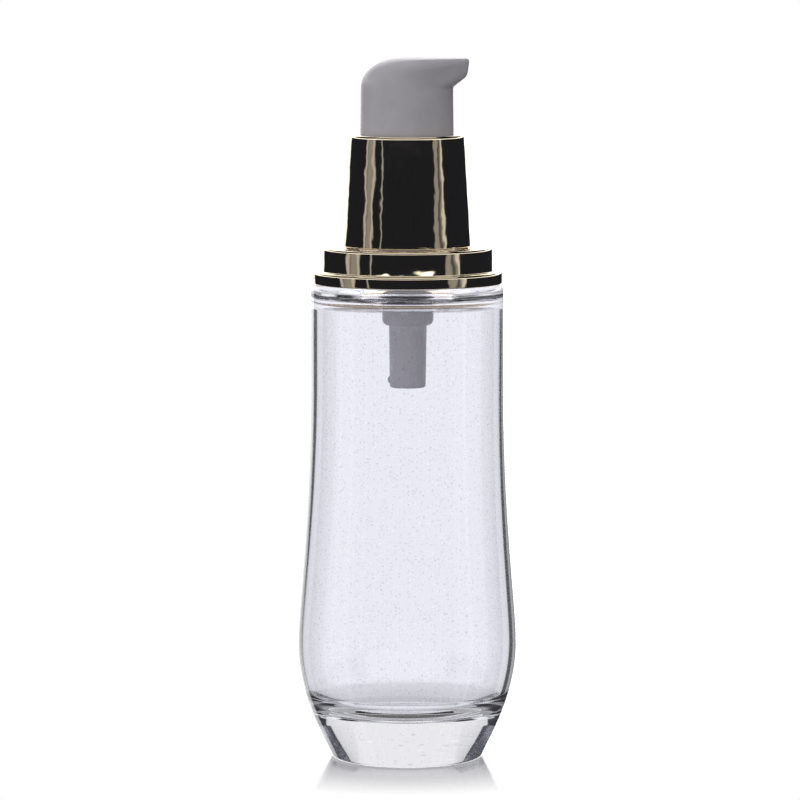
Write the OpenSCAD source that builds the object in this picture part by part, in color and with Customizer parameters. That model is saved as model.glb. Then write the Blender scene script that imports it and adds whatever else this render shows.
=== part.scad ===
// Pump bottle for liquid make-up: a thick-based glass body, a stepped ring on its shoulder,
// a tapered collar over the screw closure and a press-down actuator with a short beak.
// Lengths are in millimetres. The origin is the centre of the foot, +Z is up, and the
// nozzle points to +X. Every piece is drawn where it sits with the pump up and screwed on.

/* [Glass body] */
// Largest outside diameter, low on the body
belly_d = 36; // [30:0.2:44]
// Height of the largest diameter above the foot
belly_z = 18.8; // [15.6:0.2:23]
// Outside diameter of the straight upper part
waist_d = 31.6; // [29:0.2:38]
// Height of the straight upper part, below the shoulder
straight_h = 15.9; // [12:0.1:20]
// Outside diameter at the foot
foot_d = 24.6; // [20:0.2:29]
// Height of the flat shoulder
shoulder_z = 77.9; // [64.9:0.1:94]
// Thickness of the side wall
glass_wall = 0.9; // [0.8:0.1:2]
// Thickness of the shoulder
shoulder_t = 2.4; // [1.8:0.1:3]
// Height of the inside floor above the foot
floor_z = 8; // [5:0.5:10]
// Depth of the hollow under the foot
punt_depth = 0.9; // [0.4:0.1:2]

/* [Neck] */
// Diameter over the neck's thread
finish_d = 17.5; // [14.6:0.1:21]
// Depth of the neck's thread
thread_depth = 0.95; // [0.7:0.05:1.2]
// Height of the neck above the shoulder
neck_h = 15; // [13:0.5:18]

/* [Shoulder ring and collar] */
// Height of the ring's lower step
flange_h = 2; // [1.4:0.1:3]
// Height of the ring's upper step
step_h = 3.9; // [3:0.1:5]
// Width of the ledge between the two steps
ledge_w = 1.6; // [1:0.1:2]
// Rounding of the ring's two upper edges
ring_edge = 0.4; // [0.3:0.1:0.8]
// Thickness of the collar's sheet
sheet_t = 0.4; // [0.3:0.05:0.6]
// Wall of the closure inside the collar, at its foot
closure_wall = 1.1; // [0.9:0.05:1.6]
// How much narrower the collar is at its top, in radius
collar_lean = 1.08; // [0.6:0.02:1.6]

/* [Actuator] */
// Diameter of the skirt at its foot
head_d = 15.2; // [13:0.1:18.2]
// Height of the actuator's top above the collar
head_rise = 12.4; // [11.5:0.1:16]
// Wall of the skirt
head_wall = 1; // [0.8:0.1:1.4]
// Reach of the beak's tip from the axis
beak_reach = 10.1; // [9.6:0.1:14]
// Width of the beak's tip
beak_w = 5.2; // [4:0.1:7]
// Diameter of the nozzle's mouth
mouth_d = 1.4; // [1:0.1:1.6]

/* [Pump] */
// Working stroke of the actuator
stroke = 4.5; // [3:0.1:5.4]
// Outside diameter of the housing's barrel
barrel_d = 8.34; // [7:0.02:10]
// Wall of the barrel
barrel_wall = 0.77; // [0.6:0.01:0.9]
// Outside diameter of the stem
stem_d = 4; // [3.6:0.1:4.8]
// Wall of the stem
stem_wall = 0.75; // [0.6:0.05:0.8]
// Height of the piston
piston_h = 3.7; // [3:0.1:4.5]
// Play of the piston on its rod, which opens the outlet
piston_slip = 0.8; // [0.5:0.1:1.2]
// Diameter of the inlet valve's ball
ball_d = 3; // [2.5:0.1:3.4]
// Lift of the ball
ball_lift = 1; // [0.6:0.1:1.5]
// Outside diameter of the dip tube that the socket takes
tube_d = 4; // [3.4:0.1:4.8]
// Length of the housing's narrow tail
tail_l = 10.35; // [9:0.05:13]

/* [Return spring] */
// Diameter of the wire
wire_d = 0.5; // [0.4:0.05:0.6]
// Number of turns
turns = 6.5; // [5:0.5:8]
// Length as fitted
spring_l = 10.4; // [9.5:0.1:13]

/* [Hidden] */
$fn = 96;

// Clearances
cut = 0.01;
slack = 0.05;
run_gap = 0.03;
lip_gap = 0.02;
end_gap = 0.3;
neck_gap = 0.3;
collar_lift = 0.1;
head_gap = 0.22;
sleeve_gap = 0.1;

// Glass: radii and heights
belly_r = belly_d / 2;
waist_r = waist_d / 2;
waist_z = shoulder_z - straight_h;
foot_flare = 0.46;
foot_edge = 0.7;
foot_ring_w = 3;
foot_pull = 3;
belly_low_pull = 8.5;
belly_high_pull = 6;
waist_pull = 22;
shoulder_edge = 1.1;
ceiling_z = shoulder_z - shoulder_t;
ceiling_edge = 1.6;
floor_edge_w = 6.6;
floor_edge_h = 3.2;
land_z = shoulder_z + neck_h;
root_r = finish_d / 2 - thread_depth;
root_fillet = 0.4;
mouth_edge = 0.35;
throat_edge = 0.9;

// Pump stack, from the neck's rim up
gasket_t = 0.8;
pump_flange_t = 1;
web_t = 1;
guide_flange_t = 0.8;
tower_h = 0.9;
seat_z = land_z + gasket_t;
flange_top = seat_z + pump_flange_t;
web_z = flange_top + slack;
web_top = web_z + web_t;
guide_z = web_top + slack;
guide_top = guide_z + guide_flange_t;
tower_top = guide_top + tower_h;

// Barrel and cup
barrel_r = barrel_d / 2;
bore_r = barrel_r - barrel_wall;
plug_r = bore_r + 0.46;
cup_r = plug_r + 0.84;
bead_h = 0.12;
neck_bore_r = cup_r + neck_gap;
pump_flange_r = root_r + 0.4;

// Stem, piston and rod, from the guide's underside down
stem_r = stem_d / 2;
stem_bore_r = stem_r - stem_wall;
plug_l = 6.4;
plug_z = guide_z - plug_l;
stem_z = plug_z - 0.35;
stem_foot_r = stem_r + 0.4;
stem_foot_h = 1.25;
piston_top = stem_z - piston_slip;
piston_z = piston_top - piston_h;
rod_r = stem_bore_r - lip_gap;
rod_cone_h = 0.9;
rod_flange_t = 0.8;
rod_flange_z = piston_z - rod_cone_h - rod_flange_t;
rod_flange_r = bore_r - 0.4;
ledge_z = rod_flange_z - spring_l;
ledge_t = 1.2;
barrel_z = ledge_z - ledge_t;
step_z = stem_z + 0.15;

// Tail, ball valve and dip tube socket
tube_r = tube_d / 2;
tail_wall = 1;
tail_r = tube_r + tail_wall;
tail_z = barrel_z - tail_l;
press = 0.03;
socket_r = tube_r - press;
socket_l = 6.2;
inlet_r = 0.9;
inlet_l = 0.8;
ball_r = ball_d / 2;
chamber_r = ball_r + 0.4;
cone_z = tail_z + socket_l + inlet_l;
ball_z = cone_z - inlet_r + (ball_r + run_gap) * sqrt(2);
ball_lip_r = ball_r - 0.15;
ball_lip_z = ball_z + ball_lift + sqrt(pow(ball_r, 2) - pow(ball_lip_r, 2)) + slack;

// Ring, collar and closure
ring_r = waist_r - 0.2;
ring_step_r = ring_r - ledge_w;
ring_bore_r = finish_d / 2 + 0.25;
ring_wall = 1.3;
ring_ribs = 8;
ring_ledge_z = shoulder_z + flange_h;
ring_top = ring_ledge_z + step_h;
collar_z = ring_top + collar_lift;
thread_r = finish_d / 2 + 0.12;
collar_foot_r = thread_r + closure_wall + run_gap + sheet_t;
head_r = head_d / 2;
collar_bore_r = head_r + head_gap;
rim_min = 1.2;
collar_top_r = max(collar_foot_r - collar_lean, collar_bore_r + rim_min);
collar_edge = 0.5;
skirt_z = web_top + stroke + end_gap;
skirt_lap = 1.55;
collar_top = skirt_z + skirt_lap;

// Actuator
head_lean = 0.1;
neck_r = head_r - head_lean;
head_top = collar_top + head_rise;
crown_h = 4.7;
crown_w = 6.4;
crown_edge = 1.9;
crown_z = head_top - crown_h;
post_r = stem_r + 1.2;
post_z = tower_top + stroke + end_gap;
socket_top = crown_z - 1;
roof_z = crown_z + 0.5;
nozzle_z = head_top - 1.3;

// Curves
function bezier(p, n) = [for (i = [0:n])
    let (t = i / n, s = 1 - t)
    s * s * s * p[0] + 3 * s * s * t * p[1] + 3 * s * t * t * p[2] + t * t * t * p[3]];
function arc(centre, r, from, to, n) = [for (i = [0:n])
    let (a = from + (to - from) * i / n)
    centre + r * [cos(a), sin(a)]];
function reversed(list) = [for (i = [len(list) - 1:-1:0]) list[i]];

// Outline of the glass, outside from the foot to the rim, then inside back down
foot_turn = atan(foot_flare);
foot_line = arc([foot_d / 2 - 0.64 * foot_edge, foot_edge], foot_edge, -90, -foot_turn, 4);
belly_start = foot_line[4];
belly_low = bezier([belly_start, belly_start + foot_pull * [foot_flare, 1],
                    [belly_r, belly_z - belly_low_pull], [belly_r, belly_z]], 12);
belly_up = bezier([[belly_r, belly_z], [belly_r, belly_z + belly_high_pull],
                   [waist_r, waist_z - waist_pull], [waist_r, waist_z]], 12);
side_line = concat(belly_low, [for (i = [1:12]) belly_up[i]]);
wall_line = [for (p = side_line) if (p.y > floor_z + floor_edge_h) p - [glass_wall, 0]];
wall_foot = wall_line[0];
wall_lean = wall_line[1] - wall_foot;
floor_corner = [wall_foot.x - floor_edge_w, floor_z];
floor_line = bezier([floor_corner, floor_corner + [0.6 * floor_edge_w, 0],
                     wall_foot - (0.55 * floor_edge_h / wall_lean.y) * wall_lean, wall_foot], 8);
punt_r = foot_d / 2 - foot_ring_w;
punt_big_r = (pow(punt_r, 2) + pow(punt_depth, 2)) / (2 * punt_depth);
punt_line = [for (i = [0:8])
    let (r = punt_r * i / 8)
    [r, punt_depth - punt_big_r + sqrt(pow(punt_big_r, 2) - r * r)]];

module glass_bottle() {
    outside = concat(
        punt_line, foot_line, [for (i = [1:24]) side_line[i]],
        arc([waist_r - shoulder_edge, shoulder_z - shoulder_edge], shoulder_edge, 0, 90, 5),
        arc([root_r + root_fillet, shoulder_z + root_fillet], root_fillet, 270, 180, 3),
        arc([root_r - mouth_edge, land_z - mouth_edge], mouth_edge, 0, 90, 3));
    inside = concat(
        arc([neck_bore_r + mouth_edge, land_z - mouth_edge], mouth_edge, 90, 180, 3),
        arc([neck_bore_r + throat_edge, ceiling_z + throat_edge], throat_edge, 180, 270, 4),
        arc([waist_r - glass_wall - ceiling_edge, ceiling_z - ceiling_edge],
            ceiling_edge, 90, 0, 5),
        reversed(wall_line), [for (i = [7:-1:0]) floor_line[i]], [[0, floor_z]]);
    color([0.88, 0.92, 0.95, 0.4])
        rotate_extrude()
            polygon(concat(outside, inside));
}

module shoulder_ring() {
    foot_round = 0.25;
    outline = concat(
        arc([ring_r - foot_round, shoulder_z + foot_round], foot_round, -90, 0, 3),
        arc([ring_r - ring_edge, ring_ledge_z - ring_edge], ring_edge, 0, 90, 5),
        [[ring_step_r, ring_ledge_z]],
        arc([ring_step_r - ring_edge, ring_top - ring_edge], ring_edge, 0, 90, 5),
        [[ring_bore_r, ring_top], [ring_bore_r, shoulder_z],
         [ring_bore_r + ring_wall, shoulder_z], [ring_bore_r + ring_wall, ring_top - ring_wall],
         [ring_step_r - ring_wall, ring_top - ring_wall], [ring_step_r - ring_wall, shoulder_z]]);
    rib_t = 0.9;
    hollow_w = ring_step_r - ring_bore_r - 2 * ring_wall;
    color([0.85, 0.74, 0.52])
        union() {
            rotate_extrude()
                polygon(outline);
            for (i = [0:ring_ribs - 1])
                rotate([0, 0, (i + 0.5) * 360 / ring_ribs])
                    translate([ring_bore_r + ring_wall / 2, -rib_t / 2, shoulder_z])
                        cube([hollow_w + ring_wall, rib_t, ring_top - ring_wall / 2 - shoulder_z]);
        }
}

// Radius of the collar's outer side at height z
function collar_r(z) = collar_foot_r
    + (collar_top_r - collar_foot_r) * (z - collar_z) / (collar_top - collar_z);

module collar_shell() {
    hem = 0.2;
    edge_z = collar_top - collar_edge;
    inner_edge = collar_edge - sheet_t;
    outline = concat(
        arc([collar_foot_r - hem, collar_z + hem], hem, -90, 0, 3),
        arc([collar_r(edge_z) - collar_edge, edge_z], collar_edge, 0, 90, 5),
        [[collar_bore_r, collar_top], [collar_bore_r, collar_top - sheet_t]],
        arc([collar_r(edge_z) - collar_edge, edge_z], inner_edge, 90, 0, 2),
        [[collar_foot_r - sheet_t, collar_z]]);
    color([0.85, 0.74, 0.52])
        rotate_extrude()
            polygon(outline);
}

// Moulded closure inside the collar: threaded skirt, web over the pump's flange, sleeve
// above the web, and fine ribs outside that grip the collar
module screw_cap() {
    low_z = collar_z + 0.4;
    top_z = collar_top - sheet_t - slack;
    top_chamfer = 0.4;
    rib_h = 0.2;
    ribs = 24;
    rib_turn = 4;
    fit = sheet_t + run_gap + rib_h;
    sleeve_r = collar_bore_r + 0.1;
    web_bore_r = plug_r + 0.5;
    lead = 0.3;
    outline = [
        [thread_r + lead, low_z], [collar_r(low_z) - fit, low_z],
        [collar_r(top_z - top_chamfer) - fit, top_z - top_chamfer],
        [collar_r(top_z) - fit - top_chamfer, top_z], [sleeve_r, top_z],
        [sleeve_r, web_top], [web_bore_r, web_top], [web_bore_r, web_z],
        [thread_r, web_z], [thread_r, low_z + lead]];
    rib_low = low_z + 1;
    rib_top = top_z - 1.5;
    rib = [
        [collar_r(rib_low) - fit - rib_h, rib_low], [collar_r(rib_low) - fit, rib_low],
        [collar_r(rib_low + rib_h) - fit + rib_h, rib_low + rib_h],
        [collar_r(rib_top - rib_h) - fit + rib_h, rib_top - rib_h],
        [collar_r(rib_top) - fit, rib_top], [collar_r(rib_top) - fit - rib_h, rib_top]];
    color("white")
        union() {
            rotate_extrude()
                polygon(outline);
            for (i = [0:ribs - 1])
                rotate([0, 0, i * 360 / ribs])
                    rotate_extrude(angle = rib_turn)
                        polygon(rib);
        }
}

module neck_gasket() {
    color("whitesmoke")
        translate([0, 0, land_z])
            difference() {
                cylinder(r = pump_flange_r, h = gasket_t);
                translate([0, 0, -cut])
                    cylinder(r = cup_r + slack, h = gasket_t + 2 * cut);
            }
}

// Moulded housing: flange, cup, barrel and tail outside; guide seat, bore, ball chamber,
// inlet and dip tube socket inside
module pump_housing() {
    cup_slope = cup_r - barrel_r;
    cup_z = step_z - 1.1;
    barrel_round = 1;
    tail_draft = 0.07;
    tail_round = 0.35;
    body = concat(
        [[0, tail_z]],
        arc([tail_r - tail_draft - tail_round, tail_z + tail_round], tail_round, -90, 0, 3),
        [[tail_r + tail_draft, barrel_z]],
        arc([barrel_r - barrel_round, barrel_z + barrel_round], barrel_round, -80, 0, 4),
        [[barrel_r, cup_z], [cup_r, cup_z + cup_slope], [cup_r, seat_z],
         [pump_flange_r, seat_z], [pump_flange_r, flange_top], [0, flange_top]]);
    lead = 0.3;
    bead_z = guide_z - plug_l / 2;
    hollow = [
        [0, tail_z - cut], [socket_r + lead, tail_z - cut], [socket_r + lead, tail_z],
        [socket_r, tail_z + lead], [socket_r, tail_z + socket_l],
        [inlet_r, tail_z + socket_l], [inlet_r, cone_z],
        [chamber_r, cone_z + chamber_r - inlet_r], [chamber_r, ball_lip_z - 0.1],
        [ball_lip_r, ball_lip_z], [ball_lip_r, ball_lip_z + 0.3],
        [chamber_r, ledge_z - 0.1], [chamber_r, ledge_z], [bore_r, ledge_z],
        [bore_r, step_z], [plug_r + lip_gap, step_z],
        [plug_r + lip_gap, bead_z - 2 * bead_h], [plug_r + lip_gap + bead_h, bead_z - bead_h],
        [plug_r + lip_gap + bead_h, bead_z + bead_h], [plug_r + lip_gap, bead_z + 2 * bead_h],
        [plug_r + lip_gap, flange_top + cut], [0, flange_top + cut]];
    vent_d = 0.6;
    color([0.93, 0.93, 0.95])
        difference() {
            union() {
                rotate_extrude()
                    polygon(body);
                gate_mark();
            }
            rotate_extrude()
                polygon(hollow);
            translate([bore_r - 0.5, 0, piston_top + 0.45])
                rotate([0, 90, 0])
                    cylinder(d = vent_d, h = cup_r - bore_r + 1);
        }
}

// Stub of the moulding gate, low on the tail and opposite the nozzle
module gate_mark() {
    gate_r = 0.75;
    translate([-tail_r + gate_r - 0.3, 0, tail_z + 1.3])
        sphere(r = gate_r);
}

module retainer_ring() {
    bead_z = guide_z - plug_l / 2;
    foot_pocket_z = stem_z + stem_foot_h + slack;
    guide_flange_r = head_r - head_wall - 0.4;
    tower_r = stem_r + 1.6;
    guide_bore_r = stem_r + 2 * run_gap;
    outline = [
        [stem_foot_r + sleeve_gap, plug_z], [plug_r - 0.3, plug_z], [plug_r, plug_z + 0.3],
        [plug_r, bead_z - 2 * bead_h], [plug_r + bead_h, bead_z - bead_h],
        [plug_r + bead_h, bead_z + bead_h], [plug_r, bead_z + 2 * bead_h],
        [plug_r, guide_z], [guide_flange_r, guide_z], [guide_flange_r, guide_top - 0.3],
        [guide_flange_r - 0.3, guide_top], [tower_r, guide_top], [tower_r - 0.2, tower_top],
        [guide_bore_r + 0.2, tower_top], [guide_bore_r, tower_top - 0.2],
        [guide_bore_r, foot_pocket_z], [stem_foot_r + sleeve_gap, foot_pocket_z]];
    color("white")
        rotate_extrude()
            polygon(outline);
}

module stem() {
    stem_top = socket_top - slack;
    outline = [
        [stem_bore_r, stem_z], [stem_foot_r, stem_z],
        [stem_foot_r, stem_z + stem_foot_h], [stem_r, stem_z + stem_foot_h],
        [stem_r, stem_top - 0.3], [stem_r - 0.2, stem_top], [stem_bore_r, stem_top]];
    color("white")
        rotate_extrude()
            polygon(outline);
}

// Rod under the stem: spigot for the spring, notched flange, valve cone and fluted shaft
module piston_rod() {
    spigot_r = 1.7;
    spigot_l = 3.2;
    cone_w = 1.07;
    cone_r = rod_r + cone_w;
    rod_top = stem_z + 4.5;
    outline = [
        [0, rod_flange_z - spigot_l], [spigot_r - 0.6, rod_flange_z - spigot_l],
        [spigot_r, rod_flange_z - spigot_l + 0.8], [spigot_r, rod_flange_z],
        [rod_flange_r, rod_flange_z], [rod_flange_r, rod_flange_z + rod_flange_t],
        [cone_r, rod_flange_z + rod_flange_t], [rod_r, rod_flange_z + rod_flange_t + cone_w],
        [rod_r, rod_top - 0.3], [rod_r - 0.3, rod_top], [0, rod_top]];
    flute_r = 0.5;
    notch_r = 0.6;
    color("white")
        difference() {
            rotate_extrude()
                polygon(outline);
            for (a = [0:120:240])
                rotate([0, 0, a]) {
                    translate([rod_r + 0.15, 0, piston_z + 0.4])
                        cylinder(r = flute_r, h = rod_top - piston_z);
                    translate([rod_flange_r, 0, rod_flange_z - cut])
                        cylinder(r = notch_r, h = rod_flange_t + 2 * cut);
                }
        }
}

// Two-lip piston on a short sleeve, with a chamfered seat for the rod's cone
module piston() {
    sleeve_in = rod_r + sleeve_gap;
    sleeve_out = sleeve_in + 0.75;
    seat = 0.2;
    lip_r = bore_r - lip_gap;
    mid_z = (piston_z + piston_top) / 2;
    half_web = 0.4;
    lip_z = piston_h / 2 - 0.2;
    lower = [
        [sleeve_in, piston_z + seat], [sleeve_in + seat, piston_z], [sleeve_out, piston_z],
        [sleeve_out, mid_z - half_web], [lip_r - 0.7, mid_z - half_web],
        [lip_r - 0.35, mid_z - lip_z], [lip_r, mid_z - lip_z], [lip_r, mid_z - lip_z + 0.35],
        [lip_r - 0.22, mid_z - half_web]];
    upper = [
        [lip_r - 0.22, mid_z + half_web], [lip_r, mid_z + lip_z - 0.35], [lip_r, mid_z + lip_z],
        [lip_r - 0.35, mid_z + lip_z], [lip_r - 0.7, mid_z + half_web],
        [sleeve_out, mid_z + half_web], [sleeve_out, piston_top], [sleeve_in, piston_top]];
    color("gainsboro")
        rotate_extrude()
            polygon(concat(lower, upper));
}

// Compression spring with a closed turn at each end, swept along its helix
module return_spring() {
    steps = 18;
    sides = 8;
    coil_r = bore_r - 0.8;
    wire_r = wire_d / 2;
    end_rise = 1.06 * wire_d;
    low = ledge_z + lip_gap + wire_r;
    high = rod_flange_z - lip_gap - wire_r;
    open_rise = (high - low - 2 * end_rise) / (turns - 2);
    function height(t) = t < 1 ? low + t * end_rise
        : t > turns - 1 ? high - (turns - t) * end_rise
        : low + end_rise + (t - 1) * open_rise;
    rings = steps * turns;
    points = [for (i = [0:rings], j = [0:sides - 1])
        let (t = i / steps, a = 360 * t, b = 360 * j / sides, r = coil_r + wire_r * cos(b))
        [r * cos(a), r * sin(a), height(t) + wire_r * sin(b)]];
    skin = [for (i = [0:rings - 1], j = [0:sides - 1])
        let (k = (j + 1) % sides)
        [i * sides + j, (i + 1) * sides + j, (i + 1) * sides + k, i * sides + k]];
    start = [[for (j = [0:sides - 1]) j]];
    end = [[for (j = [sides - 1:-1:0]) rings * sides + j]];
    color("silver")
        polyhedron(points = points, faces = concat(skin, start, end));
}

module inlet_ball() {
    color("silver")
        translate([0, 0, ball_z])
            sphere(r = ball_r);
}

// Slice of the crown at the angle a of its back curve: 0 is the barrel, 90 is the top
module crown_slice(a) {
    z = crown_z + crown_h * sin(a);
    rise = max(0, z - (head_top - crown_edge));
    side = neck_r - crown_edge + sqrt(max(0, pow(crown_edge, 2) - rise * rise));
    back = neck_r - crown_w + crown_w * cos(a);
    translate([(side - back) / 2, 0, z - cut])
        scale([(side + back) / 2, side, 1])
            cylinder(r = 1, h = cut, $fn = 48);
}

// Side view of the beak's tip, drawn inwards by an inset
module beak_tip(width, inset) {
    lip = 0.3;
    rotate([90, 0, 0])
        linear_extrude(height = width, center = true)
            polygon([
                [beak_reach - 0.95, head_top - 3.3 + inset],
                [beak_reach - 0.5 - inset, head_top - 2.9 + inset],
                [beak_reach - 0.25 - inset, head_top - 2.2 + inset],
                [beak_reach - inset, head_top - lip - inset],
                [beak_reach - lip - inset, head_top - inset],
                [neck_r - 1, head_top - inset]]);
}

module actuator() {
    skirt_r = head_r - head_wall;
    nozzle_r = mouth_d / 2;
    riser_r = stem_bore_r;
    rib_t = 0.8;
    color([0.95, 0.95, 0.96])
        difference() {
            union() {
                difference() {
                    union() {
                        translate([0, 0, skirt_z])
                            cylinder(r1 = head_r, r2 = neck_r, h = crown_z - skirt_z);
                        hull() {
                            for (a = [0:15:90])
                                crown_slice(a);
                            beak_tip(beak_w, 0.4);
                            beak_tip(beak_w - 0.8, 0);
                        }
                    }
                    translate([0, 0, skirt_z - cut])
                        cylinder(r1 = skirt_r, r2 = skirt_r - head_lean,
                                 h = roof_z - skirt_z + cut);
                }
                translate([0, 0, post_z])
                    cylinder(r = post_r, h = roof_z - post_z + 0.5);
                for (a = [45:90:315])
                    rotate([0, 0, a])
                        translate([post_r - 0.2, -rib_t / 2, post_z + 1.5])
                            cube([skirt_r - post_r, rib_t, roof_z - post_z - 1]);
            }
            translate([0, 0, post_z - cut])
                cylinder(r = stem_r + run_gap, h = socket_top - post_z + cut);
            translate([0, 0, post_z - cut])
                cylinder(r1 = stem_r + 0.4, r2 = stem_r, h = 0.4);
            translate([0, 0, socket_top - cut])
                cylinder(r = riser_r, h = nozzle_z - socket_top + cut);
            translate([0, 0, nozzle_z])
                rotate([0, 90, 0])
                    cylinder(r = nozzle_r, h = beak_reach + 1);
        }
}

glass_bottle();
shoulder_ring();
collar_shell();
screw_cap();
neck_gasket();
pump_housing();
retainer_ring();
stem();
piston_rod();
piston();
return_spring();
inlet_ball();
actuator();
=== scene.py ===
import math

import bmesh
import bpy
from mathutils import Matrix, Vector


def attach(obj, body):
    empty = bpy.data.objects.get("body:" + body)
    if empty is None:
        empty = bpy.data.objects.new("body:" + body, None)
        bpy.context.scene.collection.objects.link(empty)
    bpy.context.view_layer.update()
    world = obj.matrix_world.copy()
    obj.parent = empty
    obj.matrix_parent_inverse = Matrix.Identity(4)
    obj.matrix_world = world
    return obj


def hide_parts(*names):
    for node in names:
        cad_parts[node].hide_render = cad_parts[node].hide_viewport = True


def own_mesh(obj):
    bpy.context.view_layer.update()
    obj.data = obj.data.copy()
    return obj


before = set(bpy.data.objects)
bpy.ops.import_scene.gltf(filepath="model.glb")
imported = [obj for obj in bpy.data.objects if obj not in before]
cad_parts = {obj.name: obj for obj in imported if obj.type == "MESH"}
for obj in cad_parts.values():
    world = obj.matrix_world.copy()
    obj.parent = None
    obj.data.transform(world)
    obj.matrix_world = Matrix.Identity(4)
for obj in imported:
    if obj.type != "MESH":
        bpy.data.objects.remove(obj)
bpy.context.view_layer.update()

MM = 0.001


# Glass bottle. Clear flint glass, pressed and blown in a mould: a heavy solid foot with a shallow
# punt, a thin wall that swells low down, a flat shoulder and a short neck. The glass is fire
# polished, so no edge is sharp, and its wall is never quite even from side to side.

belly_r, belly_z = 18.0, 18.8
waist_r, waist_z = 15.8, 62.0
shoulder_z, land_z = 77.9, 92.9
glass_wall, floor_z, ceiling_z = 0.9, 8.0, 75.5
neck_r, neck_bore_r = 7.8, 5.0
foot_r, foot_edge, foot_flare = 12.3, 0.7, 0.46
floor_edge_w, floor_edge_h = 6.6, 3.2
punt_r, punt_depth = 9.3, 0.9
shoulder_edge, neck_fillet, mouth_edge, throat_edge, ceiling_edge = 1.1, 0.4, 0.35, 0.9, 1.6
foot_pull, belly_pull_down, belly_pull_up, waist_pull = 3, 8.5, 6, 22
drift, drift_z, drift_span, drift_full_r = 0.28, 38, 75, 13


def bezier(a, b, c, d, steps):
    """Points of a cubic curve from a to d, in mm."""
    points = []
    for i in range(steps + 1):
        t = i / steps
        s = 1 - t
        weights = (s**3, 3 * s * s * t, 3 * s * t * t, t**3)
        points.append(tuple(sum(w * p[k] for w, p in zip(weights, (a, b, c, d))) for k in (0, 1)))
    return points


def arc(centre, radius, start, end, steps):
    """Points of an arc in mm, its angles in degrees from the outward direction."""
    turns = [math.radians(start + (end - start) * i / steps) for i in range(steps + 1)]
    return [(centre[0] + radius * math.cos(t), centre[1] + radius * math.sin(t)) for t in turns]


def run(start, end, steps):
    """Evenly spaced points from start to end, without the start."""
    return [tuple(start[k] + (end[k] - start[k]) * i / steps for k in (0, 1))
            for i in range(1, steps + 1)]


punt_curve_r = (punt_r**2 + punt_depth**2) / (2 * punt_depth)
punt = [(r, punt_depth - punt_curve_r + math.sqrt(punt_curve_r**2 - r * r))
        for r in (punt_r * i / 16 for i in range(17))]
foot = arc((foot_r - 0.64 * foot_edge, foot_edge), foot_edge, -90,
           -math.degrees(math.atan(foot_flare)), 8)
side = bezier(foot[-1], (foot[-1][0] + foot_pull * foot_flare, foot[-1][1] + foot_pull),
              (belly_r, belly_z - belly_pull_down), (belly_r, belly_z), 32)
side += bezier((belly_r, belly_z), (belly_r, belly_z + belly_pull_up),
               (waist_r, waist_z - waist_pull), (waist_r, waist_z), 40)[1:]
wall = [(r - glass_wall, z) for r, z in side if z > floor_z + floor_edge_h]
wall_foot, wall_next = wall[0], wall[1]
pull = 0.55 * floor_edge_h / (wall_next[1] - wall_foot[1])
floor_line = bezier(
    (wall_foot[0] - floor_edge_w, floor_z), (wall_foot[0] - 0.4 * floor_edge_w, floor_z),
    (wall_foot[0] - pull * (wall_next[0] - wall_foot[0]),
     wall_foot[1] - pull * (wall_next[1] - wall_foot[1])), wall_foot, 24)
outside = (
    punt + foot + side[1:]
    + run((waist_r, waist_z), (waist_r, shoulder_z - shoulder_edge), 8)[:-1]
    + arc((waist_r - shoulder_edge, shoulder_z - shoulder_edge), shoulder_edge, 0, 90, 12)
    + arc((neck_r + neck_fillet, shoulder_z + neck_fillet), neck_fillet, 270, 180, 6)
    + arc((neck_r - mouth_edge, land_z - mouth_edge), mouth_edge, 0, 90, 6))
inside = (
    arc((neck_bore_r + mouth_edge, land_z - mouth_edge), mouth_edge, 90, 180, 6)
    + arc((neck_bore_r + throat_edge, ceiling_z + throat_edge), throat_edge, 180, 270, 8)
    + arc((waist_r - glass_wall - ceiling_edge, ceiling_z - ceiling_edge), ceiling_edge, 90, 0, 14)
    + wall[::-1] + floor_line[-2::-1] + run(floor_line[0], (0, floor_z), 10))


def new_piece(name, points, faces, sharp_angle=35):
    """Smooth mesh object at the origin, from points in mm. Edges past the angle stay hard."""
    mesh = bpy.data.meshes.new(name)
    mesh.from_pydata([Vector(p) * MM for p in points], [], faces)
    solid = bmesh.new()
    solid.from_mesh(mesh)
    for face in solid.faces:
        face.smooth = True
    for edge in solid.edges:
        edge.smooth = not edge.is_manifold or edge.calc_face_angle() < math.radians(sharp_angle)
    solid.to_mesh(mesh)
    solid.free()
    piece = bpy.data.objects.new(name, mesh)
    bpy.context.scene.collection.objects.link(piece)
    return piece


def turned(outline, sides=160, shift=None):
    """Points and faces of a solid turned from (radius, height) points, up the outside and down the
    inside. shift gives a point's sideways offset from its number, radius and height."""
    points, faces, rings = [], [], []
    for i, (radius, height) in enumerate(outline):
        count = 1 if radius < 1e-6 else sides
        rings.append(range(len(points), len(points) + count))
        offset = shift(i, radius, height) if shift else 0
        for j in range(count):
            turn = 2 * math.pi * j / sides
            points.append((radius * math.cos(turn) + offset, radius * math.sin(turn), height))
    closed = len(rings[0]) > 1
    pairs = list(zip(rings, rings[1:])) + ([(rings[-1], rings[0])] if closed else [])
    for low, high in pairs:
        for j in range(sides):
            k = (j + 1) % sides
            corners = [low[j % len(low)], low[k % len(low)],
                       high[k % len(high)], high[j % len(high)]]
            faces.append(list(dict.fromkeys(corners)))
    return points, faces


def wall_drift(i, radius, height):
    """The cavity leans a little against the outside, so the wall is thinner at one side below and
    at the other above."""
    if i < len(outside) or height > ceiling_z or radius < 1e-6:
        return 0
    lean = drift * math.sin(math.pi * (height - drift_z) / drift_span)
    return lean * min(1, radius / drift_full_r)


bottle = new_piece("glass_body", *turned(outside + inside, 192, wall_drift), 60)


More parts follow.
